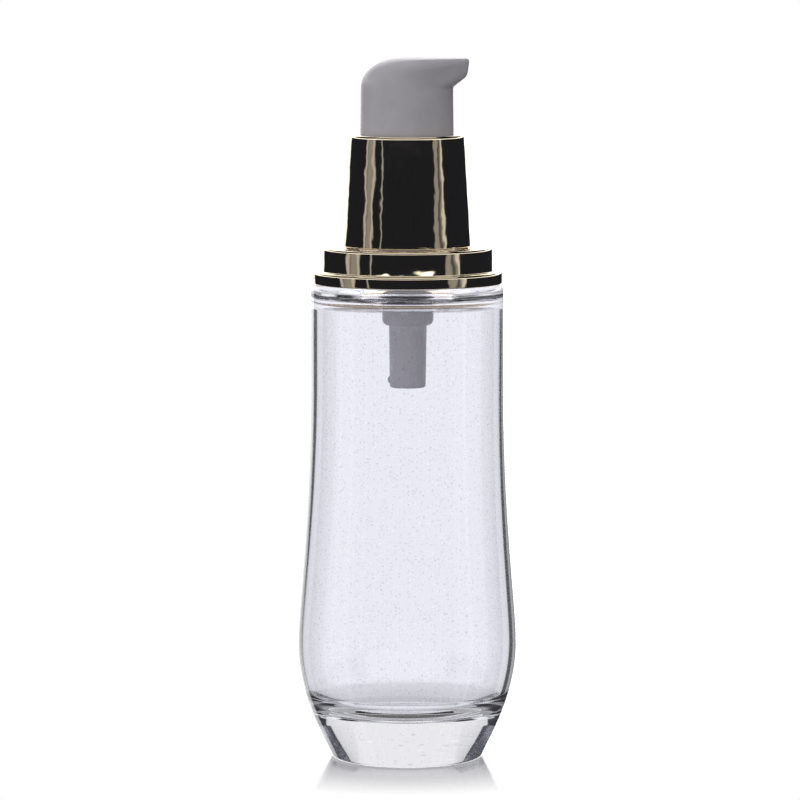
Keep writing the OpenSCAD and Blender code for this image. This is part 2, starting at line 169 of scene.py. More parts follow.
def linear(code):
    """Linear colour from an sRGB hex code."""
    parts = [int(code[i:i + 2], 16) / 255 for i in (0, 2, 4)]
    return [p / 12.92 if p <= 0.04045 else ((p + 0.055) / 1.055) ** 2.4 for p in parts] + [1]


def add_node(tree, kind, inputs=None, stops=(), **settings):
    """Adds a node. An input given another node's output is linked to it, and any other is set.
    stops are a colour ramp's (position, colour) pairs, from low to high."""
    node = tree.nodes.new(kind)
    for key, value in settings.items():
        setattr(node, key, value)
    for key, value in (inputs or {}).items():
        if isinstance(value, bpy.types.NodeSocket):
            tree.links.new(value, node.inputs[key])
        else:
            node.inputs[key].default_value = value
    if stops:
        marks = node.color_ramp.elements
        marks.remove(marks[1])
        marks[0].position, marks[0].color = stops[0]
        for position, colour in stops[1:]:
            marks.new(position).color = colour
    return node


def new_material(name, **sockets):
    """New material with its shader's sockets set by name. Returns it, its tree, its shader and the
    object's coordinates."""
    material = bpy.data.materials.new(name)
    material.use_nodes = True
    tree = material.node_tree
    shader = tree.nodes["Principled BSDF"]
    for key, value in sockets.items():
        shader.inputs[key.replace("_", " ")].default_value = value
    return material, tree, shader, add_node(tree, "ShaderNodeTexCoord").outputs["Object"]


def feed(shader, **outputs):
    """Links outputs of nodes to the shader's sockets by name."""
    for key, output in outputs.items():
        shader.id_data.links.new(output, shader.inputs[key.replace("_", " ")])


def even(level):
    """Grey of one linear level."""
    return (level, level, level, 1)


def put_on(piece, material, body, slot, *replaced):
    """Gives a piece its material, and says which body carries it and the CAD nodes it
    stands for. slot is not used."""
    piece.data.materials.clear()
    piece.data.materials.append(material)
    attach(piece, body)
    if replaced:
        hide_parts(*replaced)


# Flint glass: clear, with a breath of lavender. Seeds left by the melt and dust from the mould
# show as fine specks, some grey and some bright; the bright ones are painted glints that glow a
# little. They are 0.3 mm across, coarser than real ones, so that they show.
glass, tree, shader, place = new_material(
    "flint_glass", Roughness=0.0, IOR=1.52, Transmission_Weight=1.0,
    Emission_Color=linear("F4F4FC"))
speck_spacing = 0.7 * MM
seeds = add_node(tree, "ShaderNodeTexVoronoi",
                 {"Vector": place, "Scale": 1 / speck_spacing})
speck = add_node(tree, "ShaderNodeMapRange", {
    "Value": seeds.outputs["Distance"], "From Min": 0.16, "From Max": 0.26,
    "To Min": 1.0, "To Max": 0.0})
lot = add_node(tree, "ShaderNodeSeparateXYZ", {0: seeds.outputs["Color"]})
is_grey = add_node(tree, "ShaderNodeMath", {0: lot.outputs["X"], 1: 0.6}, operation="LESS_THAN")
is_painted_glint = add_node(tree, "ShaderNodeMath",
                     {0: lot.outputs["Y"], 1: 0.5}, operation="GREATER_THAN")
grey_speck = add_node(tree, "ShaderNodeMath",
                      {0: speck.outputs["Result"], 1: is_grey.outputs[0]}, operation="MULTIPLY")
tint = add_node(tree, "ShaderNodeMapRange",
                {"Value": grey_speck.outputs[0], "To Min": 0.0, "To Max": 0.4})
clear = add_node(tree, "ShaderNodeMix", {
    "Factor": tint.outputs["Result"], "A": linear("F9F9FE"), "B": linear("8A8A94")},
    data_type="RGBA")
# The bright specks are painted glints: they are added to the glass's glow below.
painted_glint_speck = add_node(tree, "ShaderNodeMath",
                        {0: speck.outputs["Result"], 1: is_painted_glint.outputs[0]}, operation="MULTIPLY")
spark = add_node(tree, "ShaderNodeMath",
                 {0: painted_glint_speck.outputs[0], 1: 0.08}, operation="MULTIPLY")

# Light caught between the glass's faces would be lost when the renderer stops following it. An
# even glow stands in for it: strong in the flat shoulder, faint in the wall and almost none in
# the solid foot.
ray = add_node(tree, "ShaderNodeLightPath")
caught = add_node(tree, "ShaderNodeMath",
                  {0: ray.outputs["Glossy Depth"], 1: 3.5}, operation="GREATER_THAN")
axes = add_node(tree, "ShaderNodeSeparateXYZ", {0: place})
ramp_height = 100 * MM
height = add_node(tree, "ShaderNodeMapRange",
                  {"Value": axes.outputs["Z"], "From Min": 0.0, "From Max": ramp_height})
glow_level = add_node(tree, "ShaderNodeValToRGB", {"Fac": height.outputs["Result"]}, stops=[
    (at, even(level)) for at, level in (
        (0, 0.02), (0.092, 0.02), (0.112, 0.2), (0.7, 0.2), (0.74, 0.55), (1, 0.55))])
glow = add_node(tree, "ShaderNodeMath", {
    0: caught.outputs[0], 1: glow_level.outputs["Color"], 2: spark.outputs[0]},
    operation="MULTIPLY_ADD")

# The thick shoulder shows a fine dark line just below its edge, which sways a little. The mesh
# alone doesn't give it, so it is painted shade: a dark line painted into the glass's colour.
shade_line_z, shade_line_half, shade_line_fade, shade_line_sway = 76.4 * MM, 0.2 * MM, 0.4 * MM, 0.5 * MM
sway = add_node(tree, "ShaderNodeTexNoise",
                {"Vector": place, "Scale": 1 / (3 * MM), "Detail": 1.0})
swayed = add_node(tree, "ShaderNodeMath", {
    0: sway.outputs["Fac"], 1: shade_line_sway, 2: axes.outputs["Z"]}, operation="MULTIPLY_ADD")
over = add_node(tree, "ShaderNodeMath", {0: swayed.outputs[0], 1: shade_line_z}, operation="SUBTRACT")
apart = add_node(tree, "ShaderNodeMath", {0: over.outputs[0]}, operation="ABSOLUTE")
in_shade_line = add_node(tree, "ShaderNodeMapRange", {
    "Value": apart.outputs[0], "From Min": shade_line_half, "From Max": shade_line_fade,
    "To Min": 0.97, "To Max": 0.0})
# The painted dark line of shade is mixed into the glass's colour here.
with_painted_shade_line = add_node(tree, "ShaderNodeMix", {
    "Factor": in_shade_line.outputs["Result"], "A": clear.outputs["Result"], "B": linear("1C1C20")},
    data_type="RGBA")
feed(shader, Base_Color=with_painted_shade_line.outputs["Result"], Emission_Strength=glow.outputs[0])
put_on(bottle, glass, "bottle", "flint_glass", "glass_bottle")


# Neck thread. One ridge in the same glass, moulded with the neck. It winds up the neck nearly
# two turns at the pump's pitch, fades out at both ends and takes the closure's own ridge.

def grown(name, tree, **sizes):
    """Runs a Geometry Nodes tree on its named inputs and keeps its result as a plain mesh object
    at the origin."""
    seed = bpy.data.objects.new(name + "_seed", bpy.data.meshes.new(name + "_seed"))
    bpy.context.scene.collection.objects.link(seed)
    form = seed.modifiers.new("form", "NODES")
    form.node_group = tree
    for socket in tree.interface.items_tree:
        if socket.in_out == "INPUT":
            form[socket.identifier] = sizes[socket.name.replace(" ", "_").lower()]
    bpy.context.view_layer.update()
    mesh = bpy.data.meshes.new_from_object(
        seed.evaluated_get(bpy.context.evaluated_depsgraph_get()))
    bpy.data.objects.remove(seed)
    solid = bmesh.new()
    solid.from_mesh(mesh)
    bmesh.ops.remove_doubles(solid, verts=solid.verts, dist=0.001 * MM)
    bmesh.ops.recalc_face_normals(solid, faces=solid.faces)
    for edge in solid.edges:
        edge.smooth = not edge.is_manifold or edge.calc_face_angle() < math.radians(30)
    solid.to_mesh(mesh)
    solid.free()
    piece = bpy.data.objects.new(name, mesh)
    bpy.context.scene.collection.objects.link(piece)
    return piece


def named_inputs(tree, **kinds):
    """Gives a tree its named inputs and its geometry output. Returns the two ends of the tree."""
    for key, kind in kinds.items():
        tree.interface.new_socket(key.replace("_", " ").title(), in_out="INPUT",
                                  socket_type="NodeSocket" + kind)
    tree.interface.new_socket("Geometry", in_out="OUTPUT", socket_type="NodeSocketGeometry")
    return tree.nodes.new("NodeGroupInput"), tree.nodes.new("NodeGroupOutput")


thread_tree = bpy.data.node_groups.new("screw_ridge", "GeometryNodeTree")
size, made = named_inputs(
    thread_tree, root_radius="Float", depth="Float", width="Float", pitch="Float", turns="Float",
    start_height="Float", start_angle="Float", ridge="Material")
climb = add_node(thread_tree, "ShaderNodeMath",
                 {0: size.outputs["Pitch"], 1: size.outputs["Turns"]}, operation="MULTIPLY")
helix = add_node(thread_tree, "GeometryNodeCurveSpiral", {
    "Resolution": 60, "Rotations": size.outputs["Turns"], "Height": climb.outputs[0],
    "Start Radius": size.outputs["Root Radius"], "End Radius": size.outputs["Root Radius"],
    "Reverse": True})
level_up = add_node(thread_tree, "GeometryNodeSetCurveNormal",
                    {"Curve": helix.outputs["Curve"]}, mode="Z_UP")
along = add_node(thread_tree, "GeometryNodeSplineParameter")
to_end = add_node(thread_tree, "ShaderNodeMath",
                  {0: 1.0, 1: along.outputs["Factor"]}, operation="SUBTRACT")
nearest = add_node(thread_tree, "ShaderNodeMath",
                   {0: along.outputs["Factor"], 1: to_end.outputs[0]}, operation="MINIMUM")
fade = add_node(thread_tree, "ShaderNodeMapRange",
                {"Value": nearest.outputs[0], "From Max": 0.05, "To Min": 0.08, "To Max": 1.0})
trapezoid = add_node(thread_tree, "GeometryNodeCurvePrimitiveQuadrilateral", {
    "Bottom Width": 1.0, "Top Width": 0.45, "Offset": 0.0, "Height": 1.0}, mode="TRAPEZOID")
outward = add_node(thread_tree, "GeometryNodeTransform", {
    "Geometry": trapezoid.outputs["Curve"], "Translation": (0.5, 0, 0),
    "Rotation": (0, 0, -math.pi / 2)})
section = add_node(thread_tree, "ShaderNodeCombineXYZ", {
    "X": size.outputs["Depth"], "Y": size.outputs["Width"], "Z": 1.0})
sized = add_node(thread_tree, "GeometryNodeTransform",
                 {"Geometry": outward.outputs["Geometry"], "Scale": section.outputs["Vector"]})
swept = add_node(thread_tree, "GeometryNodeCurveToMesh", {
    "Curve": level_up.outputs["Curve"], "Profile Curve": sized.outputs["Geometry"],
    "Scale": fade.outputs["Result"], "Fill Caps": True})
start_at = add_node(thread_tree, "ShaderNodeCombineXYZ", {"Z": size.outputs["Start Height"]})
turned_to = add_node(thread_tree, "ShaderNodeCombineXYZ", {"Z": size.outputs["Start Angle"]})
placed = add_node(thread_tree, "GeometryNodeTransform", {
    "Geometry": swept.outputs["Mesh"], "Translation": start_at.outputs["Vector"],
    "Rotation": turned_to.outputs["Vector"]})
solid_form = add_node(thread_tree, "GeometryNodeRealizeInstances",
                      {"Geometry": placed.outputs["Geometry"]})
dressed = add_node(thread_tree, "GeometryNodeSetMaterial",
                   {"Geometry": solid_form.outputs["Geometry"], "Material": size.outputs["Ridge"]})
thread_tree.links.new(dressed.outputs["Geometry"], made.inputs["Geometry"])

thread_pitch, thread_foot_z, thread_sunk = 3.1728, 85.5, 0.05
neck_thread = grown(
    "neck_thread", thread_tree, root_radius=(neck_r - thread_sunk) * MM, depth=0.97 * MM,
    width=1.5 * MM, pitch=thread_pitch * MM, turns=1.7, start_height=thread_foot_z * MM,
    start_angle=0.0, ridge=glass)
put_on(neck_thread, glass, "bottle", "flint_glass")


# Shoulder ring. A stepped ring moulded in ABS and electroplated pale gold. It is glued on
# the shoulder round the neck. Plating follows the moulding, so its edges are slightly soft
# and its mirror slightly wavy.

ring_r, ring_step_r, ring_bore_r = 15.6, 14.0, 9.0
ring_ledge_z, ring_top, ring_wall, ring_edge = 79.9, 83.8, 1.3, 0.4
ring_foot_z, ring_foot_edge, ledge_fillet = shoulder_z + 0.02, 0.25, 0.15
ring_outline = (
    arc((ring_r - ring_foot_edge, ring_foot_z + ring_foot_edge), ring_foot_edge, -90, 0, 6)
    + arc((ring_r - ring_edge, ring_ledge_z - ring_edge), ring_edge, 0, 90, 12)
    + arc((ring_step_r + ledge_fillet, ring_ledge_z + ledge_fillet), ledge_fillet, 270, 180, 4)
    + arc((ring_step_r - ring_edge, ring_top - ring_edge), ring_edge, 0, 90, 12)
    + [(ring_bore_r, ring_top), (ring_bore_r, ring_foot_z), (ring_bore_r + ring_wall, ring_foot_z),
       (ring_bore_r + ring_wall, ring_top - ring_wall),
       (ring_step_r - ring_wall, ring_top - ring_wall), (ring_step_r - ring_wall, ring_foot_z)])
ring = new_piece("stepped_ring", *turned(ring_outline, 192))

# Pale gold over bright nickel: a near mirror whose faint waviness, a few millimetres long, comes
# from the moulding under it. A finer noise stands for the plating's grain.
gold, tree, shader, place = new_material("gold_plated_abs", Metallic=1.0)
waves = add_node(tree, "ShaderNodeTexNoise",
                 {"Vector": place, "Scale": 1 / (3 * MM), "Detail": 1.0})
grain = add_node(tree, "ShaderNodeTexNoise",
                 {"Vector": place, "Scale": 1 / (0.3 * MM), "Detail": 3.0})
tone = add_node(tree, "ShaderNodeValToRGB", {"Fac": grain.outputs["Fac"]},
                stops=((0.3, linear("E9D9BC")), (0.7, linear("F1E3C8"))))
polish = add_node(tree, "ShaderNodeMapRange",
                  {"Value": grain.outputs["Fac"], "To Min": 0.02, "To Max": 0.05})
bump = add_node(tree, "ShaderNodeBump",
                {"Height": waves.outputs["Fac"], "Strength": 0.5, "Distance": 0.16 * MM})
feed(shader, Base_Color=tone.outputs["Color"], Roughness=polish.outputs["Result"],
     Normal=bump.outputs["Normal"])
put_on(ring, gold, "bottle", "gold_plated_abs", "shoulder_ring")

# Eight ribs stand under the ring's top, between its inner and its outer wall, down to the glass.
rib_tree = bpy.data.node_groups.new("ring_ribs", "GeometryNodeTree")
size, made = named_inputs(
    rib_tree, count="Int", inner_radius="Float", length="Float", thickness="Float", height="Float",
    foot_height="Float", plating="Material")
plate_size = add_node(rib_tree, "ShaderNodeCombineXYZ", {
    "X": size.outputs["Length"], "Y": size.outputs["Thickness"], "Z": size.outputs["Height"]})
plate = add_node(rib_tree, "GeometryNodeMeshCube", {"Size": plate_size.outputs["Vector"]})
plate_x = add_node(rib_tree, "ShaderNodeMath", {
    0: size.outputs["Length"], 1: 0.5, 2: size.outputs["Inner Radius"]}, operation="MULTIPLY_ADD")
plate_z = add_node(rib_tree, "ShaderNodeMath", {
    0: size.outputs["Height"], 1: 0.5, 2: size.outputs["Foot Height"]}, operation="MULTIPLY_ADD")
plate_at = add_node(rib_tree, "ShaderNodeCombineXYZ",
                    {"X": plate_x.outputs[0], "Z": plate_z.outputs[0]})
plate = add_node(rib_tree, "GeometryNodeTransform",
                 {"Geometry": plate.outputs["Mesh"], "Translation": plate_at.outputs["Vector"]})
spots = add_node(rib_tree, "GeometryNodePoints", {"Count": size.outputs["Count"]})
index = add_node(rib_tree, "GeometryNodeInputIndex")
step = add_node(rib_tree, "ShaderNodeMath",
                {0: 2 * math.pi, 1: size.outputs["Count"]}, operation="DIVIDE")
between = add_node(rib_tree, "ShaderNodeMath",
                   {0: index.outputs["Index"], 1: 0.5}, operation="ADD")
bearing = add_node(rib_tree, "ShaderNodeMath",
                   {0: between.outputs[0], 1: step.outputs[0]}, operation="MULTIPLY")
bearings = add_node(rib_tree, "ShaderNodeCombineXYZ", {"Z": bearing.outputs[0]})
ribs_round = add_node(rib_tree, "GeometryNodeInstanceOnPoints", {
    "Points": spots.outputs["Points"], "Instance": plate.outputs["Geometry"],
    "Rotation": bearings.outputs["Vector"]})
solid_form = add_node(rib_tree, "GeometryNodeRealizeInstances",
                      {"Geometry": ribs_round.outputs["Instances"]})
dressed = add_node(rib_tree, "GeometryNodeSetMaterial", {
    "Geometry": solid_form.outputs["Geometry"], "Material": size.outputs["Plating"]})
rib_tree.links.new(dressed.outputs["Geometry"], made.inputs["Geometry"])
ring_ribs = grown(
    "ring_ribs", rib_tree, count=8, inner_radius=(ring_bore_r + ring_wall / 2) * MM,
    length=(ring_step_r - ring_bore_r - ring_wall) * MM, thickness=0.9 * MM,
    height=(ring_top - ring_wall / 2 - ring_foot_z) * MM, foot_height=ring_foot_z * MM,
    plating=gold)
put_on(ring_ribs, gold, "bottle", "gold_plated_abs")


# Collar. A sleeve drawn from thin aluminium sheet, brightened and anodised pale gold, pressed
# over the closure. It tapers a little towards the top, where the sheet turns in.

collar_z, collar_top = 83.9, 102.1
collar_foot_r, collar_top_r, collar_bore_r = 10.4, 9.32, 7.82
sheet_t, collar_edge, collar_foot_edge = 0.4, 0.5, 0.2
edge_z = collar_top - collar_edge
collar_lean = (collar_top_r - collar_foot_r) / (collar_top - collar_z)
edge_r = collar_foot_r + collar_lean * (edge_z - collar_z)
collar_outline = (
    arc((collar_foot_r - collar_foot_edge, collar_z + collar_foot_edge), collar_foot_edge,
        -90, 0, 6)
    + arc((edge_r - collar_edge, edge_z), collar_edge, 0, 90, 12)
    + [(collar_bore_r, collar_top), (collar_bore_r, collar_top - sheet_t)]
    + arc((edge_r - collar_edge, edge_z), collar_edge - sheet_t, 90, 0, 4)
    + [(collar_foot_r - sheet_t, collar_z)])
collar = new_piece("gold_collar", *turned(collar_outline, 192))

# Anodised aluminium: the drawn sheet keeps faint lines up its side, and the dyed oxide dulls the
# mirror a little more than plating does.
anodised, tree, shader, place = new_material("gold_anodised_aluminium", Metallic=1.0)
waves = add_node(tree, "ShaderNodeTexNoise",
                 {"Vector": place, "Scale": 1 / (3.5 * MM), "Detail": 1.5})
drawn = add_node(tree, "ShaderNodeMapping",
                 {"Vector": place, "Scale": (1, 1, 0.06)})
lines = add_node(tree, "ShaderNodeTexNoise",
                 {"Vector": drawn.outputs["Vector"], "Scale": 1 / (0.3 * MM), "Detail": 3.0})
tone = add_node(tree, "ShaderNodeValToRGB", {"Fac": lines.outputs["Fac"]},
                stops=((0.3, linear("E6D6BA")), (0.7, linear("EFE1C8"))))
polish = add_node(tree, "ShaderNodeMapRange",
                  {"Value": lines.outputs["Fac"], "To Min": 0.03, "To Max": 0.07})
bump = add_node(tree, "ShaderNodeBump",
                {"Height": waves.outputs["Fac"], "Strength": 0.5, "Distance": 0.25 * MM})
feed(shader, Base_Color=tone.outputs["Color"], Roughness=polish.outputs["Result"],
     Normal=bump.outputs["Normal"])
put_on(collar, anodised, "cap", "gold_anodised_aluminium", "collar_shell")


# Actuator. One moulding in white polypropylene: a thin skirt round a socket for the stem, a
# crown that leans back behind and runs out into a short beak in front, and the nozzle's bore.
# It presses onto the stem. Its edges are rounded about a millimetre, as a cosmetic part's are.

skirt_z, crown_z, head_top = 100.55, 109.8, 114.5
head_r, head_neck_r = 7.6, 7.5
crown_h, crown_w, crown_edge = 4.7, 6.4, 1.9
beak_reach, beak_w = 10.1, 5.2
post_r, post_z, roof_z, socket_top, nozzle_z = 3.2, 102.3, 110.3, 108.8, 113.2
socket_r, socket_mouth_r, riser_r, nozzle_r = 2.03, 2.4, 1.25, 0.7
rib_in, rib_out, rib_half = 2, 9, 0.4


def crown_points():
    """Points on the crown's slices and the beak's tip, whose hull is the crown."""
    points = []
    for i in range(31):
        turn = math.radians(3 * i)
        z = crown_z + crown_h * math.sin(turn)
        rise = max(0, z - (head_top - crown_edge))
        half = head_neck_r - crown_edge + math.sqrt(max(0, crown_edge**2 - rise * rise))
        back = head_neck_r - crown_w + crown_w * math.cos(turn)
        for j in range(72):
            a = 2 * math.pi * j / 72
            points.append(
                ((half - back) / 2 + (half + back) / 2 * math.cos(a), half * math.sin(a), z))
    for half, inset in ((beak_w / 2, 0.5), (beak_w / 2 - 0.2, 0.15), (beak_w / 2 - 0.5, 0)):
        tip = [(beak_reach - 0.95, head_top - 3.3 + inset),
               (beak_reach - 0.5 - inset, head_top - 2.9 + inset),
               (beak_reach - 0.25 - inset, head_top - 2.2 + inset),
               (beak_reach - inset, head_top - 0.3 - inset),
               (beak_reach - 0.1 - inset, head_top - 0.1 - inset),
               (beak_reach - 0.3 - inset, head_top - inset)]
        points += [(x, y, z) for x, z in tip for y in (-half, half)]
    return points


def evaluated(piece, name):
    """Plain mesh object with the piece's modifiers applied. The piece itself is removed."""
    bpy.context.view_layer.update()
    mesh = bpy.data.meshes.new_from_object(
        piece.evaluated_get(bpy.context.evaluated_depsgraph_get()))
    bpy.data.objects.remove(piece)
    result = bpy.data.objects.new(name, mesh)
    mesh.name = name
    bpy.context.scene.collection.objects.link(result)
    return result


def cut_or_join(piece, other, operation):
    """Boolean of two pieces. The second is used up."""
    step = piece.modifiers.new("boolean", "BOOLEAN")
    step.operation, step.object, step.solver = operation, other, "EXACT"
    result = evaluated(piece, piece.name)
    bpy.data.objects.remove(other)
    return result


def settled(piece, name, sharp_angle):
    """The piece rebuilt under its final name, smooth apart from edges sharper than the angle."""
    points = [v.co / MM for v in piece.data.vertices]
    faces = [list(f.vertices) for f in piece.data.polygons]
    bpy.data.objects.remove(piece)
    return new_piece(name, points, faces, sharp_angle)


hull = bmesh.new()
for point in crown_points():
    hull.verts.new(Vector(point))
bmesh.ops.convex_hull(hull, input=hull.verts)
bmesh.ops.delete(hull, geom=[v for v in hull.verts if not v.link_faces], context="VERTS")
hull.verts.index_update()
crown = new_piece("crown", [v.co for v in hull.verts],
                  [[v.index for v in f.verts] for f in hull.faces])
hull.free()
head_skirt = new_piece("skirt", *turned(
    [(0, skirt_z), (head_r, skirt_z), (head_neck_r, crown_z + 0.3), (0, crown_z + 0.3)], 128))
head = cut_or_join(crown, head_skirt, "UNION")
remesh = head.modifiers.new("remesh", "REMESH")
remesh.mode, remesh.voxel_size = "VOXEL", 0.15 * MM
soften = head.modifiers.new("soften", "SMOOTH")
soften.factor, soften.iterations = 0.5, 14
head = evaluated(head, "soft_crown")

# The hollow: a skirt cavity round the post, left solid where the four ribs stand, then the stem's
# socket, the riser above it and the nozzle's bore.
skirt_in = head_r - 1
hollow = new_piece("hollow", *turned(
    [(post_r, skirt_z - 1), (skirt_in, skirt_z - 1), (skirt_in - 0.1, roof_z),
     (post_r, roof_z)], 96))
for turn in range(45, 360, 90):
    c, s = math.cos(math.radians(turn)), math.sin(math.radians(turn))
    rib_low, rib_high = post_z + 1.5, roof_z + 1
    corners = [(x * c - y * s, x * s + y * c, z) for z in (rib_low, rib_high) for x, y in (
        (rib_in, -rib_half), (rib_out, -rib_half), (rib_out, rib_half), (rib_in, rib_half))]
    rib = new_piece("rib", corners, [(3, 2, 1, 0), (4, 5, 6, 7), (0, 1, 5, 4), (1, 2, 6, 5),
                                     (2, 3, 7, 6), (3, 0, 4, 7)])
    hollow = cut_or_join(hollow, rib, "DIFFERENCE")
head = cut_or_join(head, hollow, "DIFFERENCE")
post_gap = new_piece("post_gap", *turned(
    [(0, skirt_z - 1), (post_r + 0.01, skirt_z - 1), (post_r + 0.01, post_z), (0, post_z)], 64))
head = cut_or_join(head, post_gap, "DIFFERENCE")
socket = new_piece("socket", *turned(
    [(0, post_z - 1), (socket_mouth_r, post_z - 1), (socket_mouth_r, post_z),
     (socket_r, post_z + 0.4), (socket_r, socket_top), (riser_r, socket_top), (riser_r, nozzle_z),
     (0, nozzle_z)], 64))
head = cut_or_join(head, socket, "DIFFERENCE")
bore_points, bore_faces = turned(
    [(0, 0), (nozzle_r, 0), (nozzle_r, 10.6), (0.95, 12), (0, 12)], 48)
bore = new_piece("bore", [(z, y, nozzle_z - x) for x, y, z in bore_points], bore_faces)
head = cut_or_join(head, bore, "DIFFERENCE")
head = settled(head, "pump_head", 50)

# White polypropylene: a soft satin gloss, from a mould polished and then lightly vapour blasted,
# and a faint milky unevenness. The blasted grain is drawn at 0.25 mm so that it shows, and the
# specular level is low because the grain breaks the gloss up.
poly, tree, shader, place = new_material("satin_polypropylene", IOR=1.49, Specular_IOR_Level=0.12)
cloud = add_node(tree, "ShaderNodeTexNoise",
                 {"Vector": place, "Scale": 1 / (3 * MM), "Detail": 3.0})
blast = add_node(tree, "ShaderNodeTexNoise",
                 {"Vector": place, "Scale": 1 / (0.25 * MM), "Detail": 2.0})
tone = add_node(tree, "ShaderNodeValToRGB", {"Fac": cloud.outputs["Fac"]},
                stops=((0.3, linear("E4E3E6")), (0.7, linear("EDECEF"))))
polish = add_node(tree, "ShaderNodeMapRange",
                  {"Value": blast.outputs["Fac"], "To Min": 0.28, "To Max": 0.4})
bump = add_node(tree, "ShaderNodeBump",
                {"Height": blast.outputs["Fac"], "Strength": 0.2, "Distance": 0.01 * MM})
feed(shader, Base_Color=tone.outputs["Color"], Roughness=polish.outputs["Result"],
     Normal=bump.outputs["Normal"])
put_on(head, poly, "head", "actuator_polypropylene", "actuator")


# Pump housing. A natural polypropylene moulding that hangs in the neck from its flange: a wide
# cup, the barrel the piston works in, and a narrow tail that takes the dip tube.

tail_z, barrel_z, cup_z = 60.9, 71.25, 88.1
tail_r, barrel_r, bore_r, cup_r, flange_r = 3.0, 4.17, 3.4, 4.7, 8.2
cup_bore_r, cup_floor_z, flange_z, flange_top = 3.88, 89.1, 93.7, 94.7
barrel_ledge_z, ball_well_r, ball_seat_z = 72.45, 1.9, 68.5
port_r, port_z, tube_stop_z, tube_r = 0.9, 67.9, 67.1, 1.97
mouth_lead, gate_r = 0.3, 0.75
housing_outline = (
    arc((tail_r - 0.42, tail_z + 0.35), 0.35, -90, 0, 6) + [(tail_r + 0.07, barrel_z)]
    + arc((barrel_r - 1, barrel_z + 1), 1, -80, 0, 10)
    + [(barrel_r, cup_z), (cup_r, cup_z + 0.53), (cup_r, flange_z), (flange_r, flange_z),
       (flange_r, flange_top), (cup_bore_r, flange_top), (cup_bore_r, cup_floor_z),
       (bore_r, cup_floor_z), (bore_r, barrel_ledge_z), (ball_well_r, barrel_ledge_z),
       (ball_well_r, ball_seat_z), (port_r, port_z), (port_r, tube_stop_z), (tube_r, tube_stop_z),
       (tube_r, tail_z + mouth_lead), (tube_r + mouth_lead, tail_z)])
housing = new_piece("housing", *turned(housing_outline, 128))
gate_points, gate_faces = turned(
    [(0, -gate_r)] + arc((0, 0), gate_r, -80, 80, 14) + [(0, gate_r)], 32)
gate_x, gate_z = -tail_r + gate_r - 0.3, tail_z + 1.3
gate = new_piece("gate", [(x + gate_x, y, z + gate_z) for x, y, z in gate_points], gate_faces)
housing = cut_or_join(housing, gate, "UNION")
housing = settled(housing, "dosing_housing", 40)

# Natural polypropylene: undyed, so it is a translucent grey-white. Its flow and shrinkage show as
# soft clouds a millimetre or two across, and the tool left fine lines round it. A faint glow
# stands for the light that comes through its wall.
natural, tree, shader, place = new_material(
    "natural_polypropylene", IOR=1.49, Roughness=0.35, Emission_Color=linear("E6E4F0"),
    Emission_Strength=0.11)
cloud = add_node(tree, "ShaderNodeTexNoise",
                 {"Vector": place, "Scale": 1 / (1.5 * MM), "Detail": 3.0})
lathe = add_node(tree, "ShaderNodeMapping",
                 {"Vector": place, "Scale": (0.1, 0.1, 1)})
lines = add_node(tree, "ShaderNodeTexNoise",
                 {"Vector": lathe.outputs["Vector"], "Scale": 1 / (0.3 * MM), "Detail": 2.0})
tone = add_node(tree, "ShaderNodeValToRGB", {"Fac": cloud.outputs["Fac"]},
                stops=((0.3, linear("DCDCDE")), (0.7, linear("E8E8EA"))))
bump = add_node(tree, "ShaderNodeBump",
                {"Height": lines.outputs["Fac"], "Strength": 0.3, "Distance": 0.02 * MM})
feed(shader, Base_Color=tone.outputs["Color"], Normal=bump.outputs["Normal"])
put_on(housing, natural, "engine", "natural_polypropylene", "pump_housing")


# Closure, retainer, stem and piston rod. White polypropylene mouldings as they leave the tool,
# inside the collar and the housing. They keep their CAD meshes.

moulded, tree, shader, place = new_material("moulded_polypropylene", IOR=1.49, Roughness=0.4)
flow = add_node(tree, "ShaderNodeTexNoise",
                {"Vector": place, "Scale": 1 / (2 * MM), "Detail": 3.0})
spark = add_node(tree, "ShaderNodeTexNoise",
                 {"Vector": place, "Scale": 1 / (0.2 * MM), "Detail": 1.0})
tone = add_node(tree, "ShaderNodeValToRGB", {"Fac": flow.outputs["Fac"]},
                stops=((0.3, linear("E6E5E3")), (0.7, linear("F1F0EE"))))
bump = add_node(tree, "ShaderNodeBump",
                {"Height": spark.outputs["Fac"], "Strength": 0.3, "Distance": 0.01 * MM})
feed(shader, Base_Color=tone.outputs["Color"], Normal=bump.outputs["Normal"])


def dress(node, material):
    """Gives a CAD node that keeps its own mesh the material of its real piece."""
    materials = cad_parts[node].data.materials
    materials.clear()
    materials.append(material)


for node in ("screw_cap", "retainer_ring", "stem", "piston_rod"):
    dress(node, moulded)


# The closure's own ridge, inside its bore. It lies half a pitch from the neck's, so the two bear on
# each other along one side as the closure is screwed down.
closure_thread = grown(
    "closure_thread", thread_tree, root_radius=8.92 * MM, depth=-0.95 * MM, width=1.2 * MM,
    pitch=thread_pitch * MM, turns=1.5, start_height=thread_foot_z * MM, start_angle=math.pi,
    ridge=moulded)
put_on(closure_thread, moulded, "cap", "white_polypropylene")


# Neck gasket. A disc punched from foamed polyethylene sheet, squeezed between the neck's rim and
# the pump's flange. Its cells are closed and about 0.2 mm across.

foam, tree, shader, place = new_material("foamed_polyethylene", Roughness=0.8)
cells = add_node(tree, "ShaderNodeTexVoronoi",
                 {"Vector": place, "Scale": 1 / (0.2 * MM)})
tone = add_node(tree, "ShaderNodeValToRGB", {"Fac": cells.outputs["Distance"]},
                stops=((0, linear("D9D8D2")), (1, linear("F2F1EC"))))
bump = add_node(tree, "ShaderNodeBump",
                {"Height": cells.outputs["Distance"], "Strength": 0.5, "Distance": 0.05 * MM})
feed(shader, Base_Color=tone.outputs["Color"], Normal=bump.outputs["Normal"])
dress("neck_gasket", foam)


# Piston. A soft two-lip seal in low density polyethylene, moulded a little milky and waxy so
# that it wipes the bore without oil.

